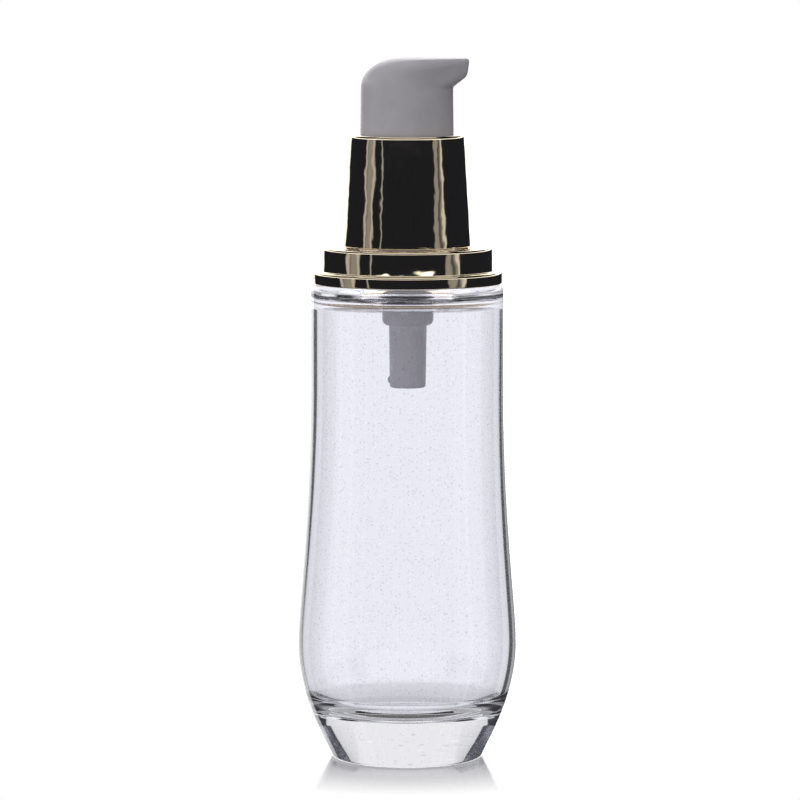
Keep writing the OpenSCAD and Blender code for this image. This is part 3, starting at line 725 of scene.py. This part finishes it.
waxy, tree, shader, place = new_material("waxy_polyethylene", IOR=1.51, Roughness=0.5)
milk = add_node(tree, "ShaderNodeTexNoise",
                {"Vector": place, "Scale": 1 / (1 * MM), "Detail": 2.0})
tone = add_node(tree, "ShaderNodeValToRGB", {"Fac": milk.outputs["Fac"]},
                stops=((0, linear("D5D6D4")), (1, linear("E9EAE8"))))
feed(shader, Base_Color=tone.outputs["Color"])
dress("piston", waxy)


# Return spring. Hard drawn stainless wire, coiled cold, with a closed turn at each end. It stands
# on the barrel's ledge round the inlet valve, pushes the rod up, and shortens as the head is
# pressed.

wire_r, coil_r, spring_turns = 0.25, 2.6, 6.5
spring_foot, spring_length, pump_travel = 72.45, 10.4, 4.5
coil_tree = bpy.data.node_groups.new("wire_coil", "GeometryNodeTree")
size, made = named_inputs(
    coil_tree, wire_radius="Float", coil_radius="Float", turns="Float", foot_height="Float",
    coil_height="Float", closed_turn_rise="Float", wire="Material")
helix = add_node(coil_tree, "GeometryNodeCurveSpiral", {
    "Resolution": 36, "Rotations": size.outputs["Turns"], "Height": size.outputs["Coil Height"],
    "Start Radius": size.outputs["Coil Radius"], "End Radius": size.outputs["Coil Radius"],
    "Reverse": True})
along = add_node(coil_tree, "GeometryNodeSplineParameter")
turn_now = add_node(coil_tree, "ShaderNodeMath",
                    {0: along.outputs["Factor"], 1: size.outputs["Turns"]}, operation="MULTIPLY")
last_turn = add_node(coil_tree, "ShaderNodeMath",
                     {0: size.outputs["Turns"], 1: 1.0}, operation="SUBTRACT")
open_rise = add_node(coil_tree, "ShaderNodeMath", {
    0: size.outputs["Closed Turn Rise"], 1: -2.0, 2: size.outputs["Coil Height"]},
    operation="MULTIPLY_ADD")
climbed = size.outputs["Foot Height"]
for first, last, rise in (
        (0.0, 1.0, size.outputs["Closed Turn Rise"]),
        (1.0, last_turn.outputs[0], open_rise.outputs[0]),
        (last_turn.outputs[0], size.outputs["Turns"], size.outputs["Closed Turn Rise"])):
    part_rise = add_node(coil_tree, "ShaderNodeMapRange", {
        "Value": turn_now.outputs[0], "From Min": first, "From Max": last, "To Max": rise})
    climbed = add_node(coil_tree, "ShaderNodeMath",
                       {0: climbed, 1: part_rise.outputs["Result"]}, operation="ADD").outputs[0]
spot = add_node(coil_tree, "GeometryNodeInputPosition")
level_spot = add_node(coil_tree, "ShaderNodeSeparateXYZ", {0: spot.outputs["Position"]})
raised = add_node(coil_tree, "ShaderNodeCombineXYZ", {
    "X": level_spot.outputs["X"], "Y": level_spot.outputs["Y"], "Z": climbed})
wound = add_node(coil_tree, "GeometryNodeSetPosition",
                 {"Geometry": helix.outputs["Curve"], "Position": raised.outputs["Vector"]})
round_wire = add_node(coil_tree, "GeometryNodeCurvePrimitiveCircle",
                      {"Resolution": 14, "Radius": size.outputs["Wire Radius"]})
swept = add_node(coil_tree, "GeometryNodeCurveToMesh", {
    "Curve": wound.outputs["Geometry"], "Profile Curve": round_wire.outputs["Curve"],
    "Fill Caps": True})
solid_form = add_node(coil_tree, "GeometryNodeRealizeInstances",
                      {"Geometry": swept.outputs["Mesh"]})
dressed = add_node(coil_tree, "GeometryNodeSetMaterial",
                   {"Geometry": solid_form.outputs["Geometry"], "Material": size.outputs["Wire"]})
coil_tree.links.new(dressed.outputs["Geometry"], made.inputs["Geometry"])

# Bright stainless: bare metal, with the die's fine lines on the wire. They are 0.15 mm apart here,
# coarser than real ones.
steel, tree, shader, place = new_material("bright_stainless", Metallic=1.0)
die = add_node(tree, "ShaderNodeTexNoise",
               {"Vector": place, "Scale": 1 / (0.15 * MM), "Detail": 3.0})
tone = add_node(tree, "ShaderNodeValToRGB", {"Fac": die.outputs["Fac"]},
                stops=((0, linear("A7A9AB")), (1, linear("D3D5D7"))))
polish = add_node(tree, "ShaderNodeMapRange",
                  {"Value": die.outputs["Fac"], "To Min": 0.15, "To Max": 0.35})
feed(shader, Base_Color=tone.outputs["Color"], Roughness=polish.outputs["Result"])
wire_gap = 0.02
spring = grown(
    "wire_spring", coil_tree, wire_radius=wire_r * MM, coil_radius=coil_r * MM, turns=spring_turns,
    foot_height=(spring_foot + wire_gap + wire_r) * MM,
    coil_height=(spring_length - 2 * wire_gap - 2 * wire_r) * MM,
    closed_turn_rise=2.12 * wire_r * MM, wire=steel)
put_on(spring, steel, "engine", "spring_steel", "return_spring")
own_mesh(spring)


# Inlet ball. A ground stainless ball that rests on its seat in the housing and lifts as the barrel
# fills. It sits in the liquid, so it is bright and bare like the spring.

dress("inlet_ball", steel)


# Floor. A pale glossy acrylic sheet, lit until it is white. Its gloss is kept to a patch round
# the bottle, where it gives the faint mirror image that fades within a few centimetres.

bpy.ops.mesh.primitive_plane_add(size=6, location=(0, 0, 0))
floor = bpy.context.object
floor.name = "studio_floor"
acrylic = bpy.data.materials.new("white_acrylic_sheet")
acrylic.use_nodes = True
tree = acrylic.node_tree
tree.nodes.clear()
place = add_node(tree, "ShaderNodeTexCoord")
away = add_node(tree, "ShaderNodeVectorMath", {0: place.outputs["Object"]}, operation="LENGTH")
patch = add_node(tree, "ShaderNodeMapRange",
                 {"Value": away.outputs["Value"], "From Min": 14 * MM, "From Max": 36 * MM,
                  "To Min": 2.0, "To Max": 0.0})
grazing = add_node(tree, "ShaderNodeFresnel", {"IOR": 1.5})
share = add_node(tree, "ShaderNodeMath",
                 {0: patch.outputs["Result"], 1: grazing.outputs["Fac"]}, operation="MULTIPLY",
                 use_clamp=True)
lit = add_node(tree, "ShaderNodeEmission", {"Color": linear("FFFFFF"), "Strength": 1.0})
gloss = add_node(tree, "ShaderNodeBsdfGlossy", {"Color": linear("BCBCC2"), "Roughness": 0.08})
mixed = add_node(tree, "ShaderNodeMixShader",
                 {0: share.outputs[0], 1: lit.outputs["Emission"], 2: gloss.outputs["BSDF"]})
add_node(tree, "ShaderNodeOutputMaterial", {"Surface": mixed.outputs["Shader"]})
floor.data.materials.append(acrylic)

# Only the camera sees the sheet, so that the glass and the gold show the studio alone.
for kind in ("diffuse", "glossy", "transmission", "shadow"):
    setattr(floor, "visible_" + kind, False)


# Studio light. No one room gives this look, so each kind of ray has its own: a white backdrop for
# the camera, a dark room with upright strip lights and a white ceiling for gloss, a white tent
# with dark flags for glass, and a soft light from the upper left for matt pieces.

def with_soft_edges(bands, softness):
    """Ramp stops for bands of (start, colour), with edges twice the softness wide."""
    stops = [(0, bands[0][1])]
    for (_, before), (start, after) in zip(bands, bands[1:]):
        stops += [(start - softness, before), (start + softness, after)]
    return stops


world = bpy.data.worlds.new("studio")
bpy.context.scene.world = world
world.use_nodes = True
world.cycles.sampling_method = "NONE"
tree = world.node_tree
tree.nodes.clear()
ray = add_node(tree, "ShaderNodeLightPath")
place = add_node(tree, "ShaderNodeTexCoord")
axes = add_node(tree, "ShaderNodeSeparateXYZ", {0: place.outputs["Generated"]})
angle = add_node(tree, "ShaderNodeMath",
                 {0: axes.outputs["X"], 1: axes.outputs["Y"]}, operation="ARCTAN2")
turn = add_node(tree, "ShaderNodeMapRange",
                {"Value": angle.outputs[0], "From Min": -math.pi, "From Max": math.pi})
height = add_node(tree, "ShaderNodeMapRange",
                  {"Value": axes.outputs["Z"], "From Min": -1.0, "From Max": 1.0})

# What gloss sees. The strips are given by their bearing in degrees from straight behind the
# bottle, and the white bands by the sine of their height: a low light round the room and the
# ceiling.
DARK, WHITE = (0.0035, 0.0052, 0.012, 1), even(1)
strips = add_node(tree, "ShaderNodeValToRGB", {"Fac": turn.outputs["Result"]},
                  stops=with_soft_edges([
    ((bearing + 180) / 360, DARK if level == 0 else even(level)) for bearing, level in (
        (-180, 0), (-131.5, 0.5), (-129.5, 0), (-114, 0.5), (-109, 0.28), (-99, 0.13), (-97, 0.5),
        (-92, 0), (-33, 1.3), (-14, 2), (14, 0), (106, 0.7), (110, 0.25), (113, 0.08), (118, 0.3),
        (127, 0))], 0.002))
bright = add_node(tree, "ShaderNodeValToRGB", {"Fac": height.outputs["Result"]},
                  stops=with_soft_edges([
    ((sine + 1) / 2, colour) for sine, colour in (
        (-1, DARK), (0.13, WHITE), (0.32, DARK), (0.85, WHITE))], 0.005))
above = add_node(tree, "ShaderNodeMapRange", {
    "Value": axes.outputs["Z"], "From Min": 0.35, "From Max": 0.6, "To Min": 2.0, "To Max": 0.8})
gloss_low = add_node(tree, "ShaderNodeBackground", {"Color": strips.outputs["Color"]})
gloss_high = add_node(tree, "ShaderNodeBackground",
                      {"Color": WHITE, "Strength": above.outputs["Result"]})
gloss_view = add_node(tree, "ShaderNodeMixShader", {
    0: bright.outputs["Color"], 1: gloss_low.outputs[0], 2: gloss_high.outputs[0]})

# Gloss that is seen through the glass is lit through it as well, so it is pale.
gloss_inside = add_node(tree, "ShaderNodeBackground", {"Color": (0.3, 0.3, 0.33, 1)})
is_inside = add_node(tree, "ShaderNodeMath",
                     {0: ray.outputs["Transmission Depth"], 1: 0.5}, operation="GREATER_THAN")
gloss_view = add_node(tree, "ShaderNodeMixShader", {
    0: is_inside.outputs[0], 1: gloss_view.outputs[0], 2: gloss_inside.outputs[0]})

# What the glass shows: the tent, a little darker low down and after more than four crossings. A
# reflection inside the glass counts as two.
plain = add_node(tree, "ShaderNodeValToRGB", {"Fac": height.outputs["Result"]}, stops=[
    ((sine + 1) / 2, even(level)) for sine, level in (
        (-1, 0.6), (-0.66, 0.72), (-0.45, 0.82), (-0.25, 0.92), (-0.12, 1), (0.1, 1), (0.3, 0.9),
        (1, 0.9))])
crossings = add_node(tree, "ShaderNodeMath", {
    0: ray.outputs["Glossy Depth"], 1: 2.0, 2: ray.outputs["Transmission Depth"]},
    operation="MULTIPLY_ADD")
often = add_node(tree, "ShaderNodeMapRange", {
    "Value": crossings.outputs[0], "From Min": 4.4, "From Max": 5.2, "To Min": 1.0, "To Max": 0.62})
plain_light = add_node(tree, "ShaderNodeBackground",
                       {"Color": plain.outputs["Color"], "Strength": often.outputs["Result"]})

# Light that glances off the wall's inside at its edge meets dark flags, which draw the outline.
# They stand where the front view needs them.
flags = add_node(tree, "ShaderNodeValToRGB", {"Fac": turn.outputs["Result"]},
                 stops=with_soft_edges([
    ((bearing + 180) / 360, even(level)) for bearing, level in (
        (-180, 0.7), (-120, 1), (-80, 0.12), (-52, 1), (-36, 0.03), (-21, 0.6), (-8, 0.3), (8, 0.6),
        (23, 0.004), (36, 1), (52, 0.12), (80, 1), (120, 0.7))], 0.006))
glanced = add_node(tree, "ShaderNodeMath",
                   {0: ray.outputs["Glossy Depth"], 1: 0.5}, operation="GREATER_THAN")
straight_light = add_node(tree, "ShaderNodeBackground", {"Color": WHITE})
glance_light = add_node(tree, "ShaderNodeBackground", {"Color": flags.outputs["Color"]})
wall_light = add_node(tree, "ShaderNodeMixShader", {
    0: glanced.outputs[0], 1: straight_light.outputs[0], 2: glance_light.outputs[0]})
by_wall = add_node(tree, "ShaderNodeMath",
                   {0: crossings.outputs[0], 1: 4.0, 2: 0.5}, operation="COMPARE")
not_up = add_node(tree, "ShaderNodeMapRange", {
    "Value": axes.outputs["Z"], "From Min": 0.02, "From Max": 0.05, "To Min": 1.0, "To Max": 0.0})
not_down = add_node(tree, "ShaderNodeMapRange",
                    {"Value": axes.outputs["Z"], "From Min": -0.5, "From Max": -0.38})
near_level = add_node(tree, "ShaderNodeMath", {
    0: not_up.outputs["Result"], 1: not_down.outputs["Result"]}, operation="MULTIPLY")
by_flags = add_node(tree, "ShaderNodeMath",
                    {0: near_level.outputs[0], 1: by_wall.outputs[0]}, operation="MULTIPLY")
glass_view = add_node(tree, "ShaderNodeMixShader",
                      {0: by_flags.outputs[0], 1: plain_light.outputs[0], 2: wall_light.outputs[0]})

# Light that the cavity's rim throws steeply down meets the dark under the table.
at_rim = add_node(tree, "ShaderNodeMapRange", {
    "Value": axes.outputs["Z"], "From Min": -0.56, "From Max": -0.5, "To Min": 1.0, "To Max": 0.0})
glanced_there = add_node(tree, "ShaderNodeMath",
                         {0: at_rim.outputs["Result"], 1: glanced.outputs[0]}, operation="MULTIPLY")
by_rim = add_node(tree, "ShaderNodeMath",
                  {0: glanced_there.outputs[0], 1: by_wall.outputs[0]}, operation="MULTIPLY")
rim_light = add_node(tree, "ShaderNodeBackground", {"Color": (0.12, 0.12, 0.11, 1)})
glass_view = add_node(tree, "ShaderNodeMixShader",
                      {0: by_rim.outputs[0], 1: glass_view.outputs[0], 2: rim_light.outputs[0]})

# Light that the solid foot turns upward meets wide dark flags at both sides, which make the
# foot's dark side facets.
halves = add_node(tree, "ShaderNodeMath", {0: turn.outputs["Result"], 1: 2.0}, operation="MULTIPLY")
half = add_node(tree, "ShaderNodeMath", {0: halves.outputs[0]}, operation="FRACT")
FLAG, FLAG_MIDDLE = (0.06, 0.06, 0.075, 1), (0.16, 0.16, 0.19, 1)
foot_flags = add_node(tree, "ShaderNodeValToRGB", {"Fac": half.outputs[0]}, stops=with_soft_edges([
    (bearing / 180, colour) for bearing, colour in (
        (0, even(0.9)), (49, FLAG), (72, FLAG_MIDDLE), (108, FLAG), (131, even(0.9)))], 0.006))
upward = add_node(tree, "ShaderNodeMapRange",
                  {"Value": axes.outputs["Z"], "From Min": 0.1, "From Max": 0.14})
foot_light = add_node(tree, "ShaderNodeBackground", {"Color": foot_flags.outputs["Color"]})
glass_view = add_node(tree, "ShaderNodeMixShader", {
    0: upward.outputs["Result"], 1: glass_view.outputs[0], 2: foot_light.outputs[0]})

# What lights matt pieces, a little more through the glass than in the open.
lit_from = add_node(tree, "ShaderNodeVectorMath",
                    {0: place.outputs["Generated"], 1: (-0.52, -0.3, 0.8)}, operation="DOT_PRODUCT")
level = add_node(tree, "ShaderNodeMapRange", {
    "Value": lit_from.outputs["Value"], "From Min": -1.0, "From Max": 1.0,
    "To Min": 0.02, "To Max": 0.54})
inside = add_node(tree, "ShaderNodeMapRange",
                  {"Value": ray.outputs["Is Transmission Ray"], "To Min": 1.0, "To Max": 1.2})
strength = add_node(tree, "ShaderNodeMath",
                    {0: level.outputs["Result"], 1: inside.outputs["Result"]}, operation="MULTIPLY")
matt_view = add_node(tree, "ShaderNodeBackground",
                     {"Color": linear("FDFAFF"), "Strength": strength.outputs[0]})
camera_view = add_node(tree, "ShaderNodeBackground", {"Color": WHITE})

# Each kind of ray gets its own view, as long as it hasn't met a matt surface on its way.
no_bounce = add_node(tree, "ShaderNodeMath",
                     {0: ray.outputs["Diffuse Depth"], 1: 0.5}, operation="LESS_THAN")
mirror = add_node(tree, "ShaderNodeMath", {
    0: ray.outputs["Is Reflection Ray"], 1: no_bounce.outputs[0]}, operation="MULTIPLY")
through = add_node(tree, "ShaderNodeMath", {
    0: ray.outputs["Is Transmission Ray"], 1: no_bounce.outputs[0]}, operation="MULTIPLY")
view = add_node(tree, "ShaderNodeMixShader",
                {0: mirror.outputs[0], 1: matt_view.outputs[0], 2: gloss_view.outputs[0]})
view = add_node(tree, "ShaderNodeMixShader",
                {0: through.outputs[0], 1: view.outputs[0], 2: glass_view.outputs[0]})
view = add_node(tree, "ShaderNodeMixShader",
                {0: ray.outputs["Is Camera Ray"], 1: view.outputs[0], 2: camera_view.outputs[0]})
add_node(tree, "ShaderNodeOutputWorld", {"Surface": view.outputs[0]})
bpy.context.scene.view_settings.view_transform = "Standard"


# Camera. A long lens three quarters of a metre in front of the bottle and a little above its
# top, aimed at its middle.

camera_data = bpy.data.cameras.new("camera")
camera = bpy.data.objects.new("camera", camera_data)
bpy.context.scene.collection.objects.link(camera)
camera_data.lens, camera_data.sensor_width = 203.5, 36
camera_data.clip_start, camera_data.clip_end = 0.05, 100
eye, aim = Vector((-1.14, -736, 132)) * MM, Vector((-1.14, 0, 58.75)) * MM
camera.location = eye
camera.rotation_mode = "QUATERNION"
camera.rotation_quaternion = (aim - eye).to_track_quat("-Z", "Y")
bpy.context.scene.camera = camera
